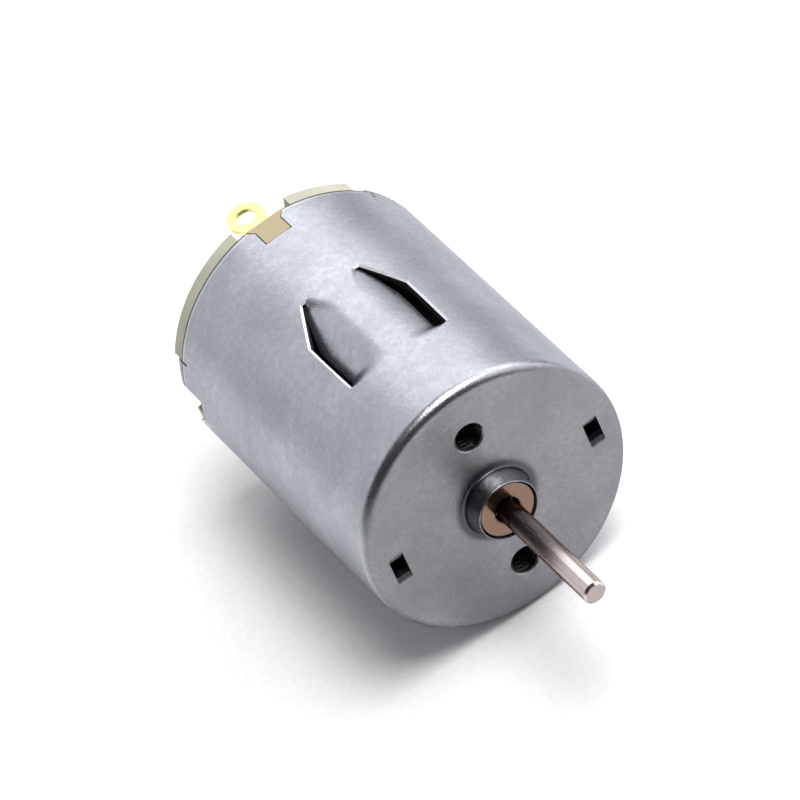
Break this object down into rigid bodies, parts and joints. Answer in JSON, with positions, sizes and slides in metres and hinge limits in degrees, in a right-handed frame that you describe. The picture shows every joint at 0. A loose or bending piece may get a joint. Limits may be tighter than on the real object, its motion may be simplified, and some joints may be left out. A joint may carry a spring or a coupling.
{
  "type": "electric motor",
  "caption": "Small round brushed DC motor: drawn steel can with vents and tapped face holes, nylon end cap with eyelet terminals, and a plain round output shaft.",
  "frame": {"origin": "centre of the front mounting face, on the shaft's axis", "axes": "-Y along the output shaft, away from the motor; +Z towards terminal_a; X completes the frame, and runs through the two face slots"},
  "size_m": [0.0242, 0.0507, 0.0242],
  "materials": {
    "can_steel": "satin zinc-plated drawn steel, cloudy grey with a faint blue-lilac tint",
    "nylon": "moulded ivory nylon, slightly translucent",
    "sintered_bronze": "oil-filled sintered bronze, fine-grained and matte",
    "terminal_brass": "bright stamped brass",
    "phosphor_bronze": "rolled phosphor bronze strip",
    "carbon": "pressed carbon-copper brush",
    "damper_rubber": "soft black rubber pad",
    "ferrite": "ground sintered ferrite, dark grey",
    "spring_steel": "blue-grey spring steel strip",
    "shaft_steel": "ground and polished steel",
    "core_steel": "stamped silicon steel sheet, lightly oxidised",
    "fibre": "pressed red-brown fibre board",
    "enamelled_copper": "enamelled copper wire",
    "phenolic": "moulded dark brown phenolic",
    "commutator_copper": "turned copper",
    "solder": "smooth tin solder",
    "nylon_white": "white nylon"
  },
  "bodies": {
    "stator": {"can": "can_steel", "end_cap": "nylon", "front_bush": "sintered_bronze", "rear_bush": "sintered_bronze", "terminal_a": "terminal_brass", "terminal_b": "terminal_brass", "brush_arm_a": "phosphor_bronze", "brush_arm_b": "phosphor_bronze", "brush_a": "carbon", "brush_b": "carbon", "brush_damper_a": "damper_rubber", "brush_damper_b": "damper_rubber", "magnet_a": "ferrite", "magnet_b": "ferrite", "magnet_spring_a": "spring_steel", "magnet_spring_b": "spring_steel"},
    "rotor": {"shaft": "shaft_steel", "core_laminations": "core_steel", "insulator_front": "fibre", "insulator_rear": "fibre", "winding_1": "enamelled_copper", "winding_2": "enamelled_copper", "winding_3": "enamelled_copper", "commutator_hub": "phenolic", "commutator_segment_1": "commutator_copper", "commutator_segment_2": "commutator_copper", "commutator_segment_3": "commutator_copper", "commutator_ring": "fibre", "solder_joints": "solder", "spacer_sleeve": "nylon_white", "thrust_washer_front": "nylon_white", "thrust_washer_rear": "nylon_white"}
  },
  "joints": [
    {"name": "rotor_spin", "type": "hinge", "parent": "stator", "child": "rotor", "pos_m": [0, 0, 0], "axis": [0, 1, 0], "continuous": true}
  ]
}
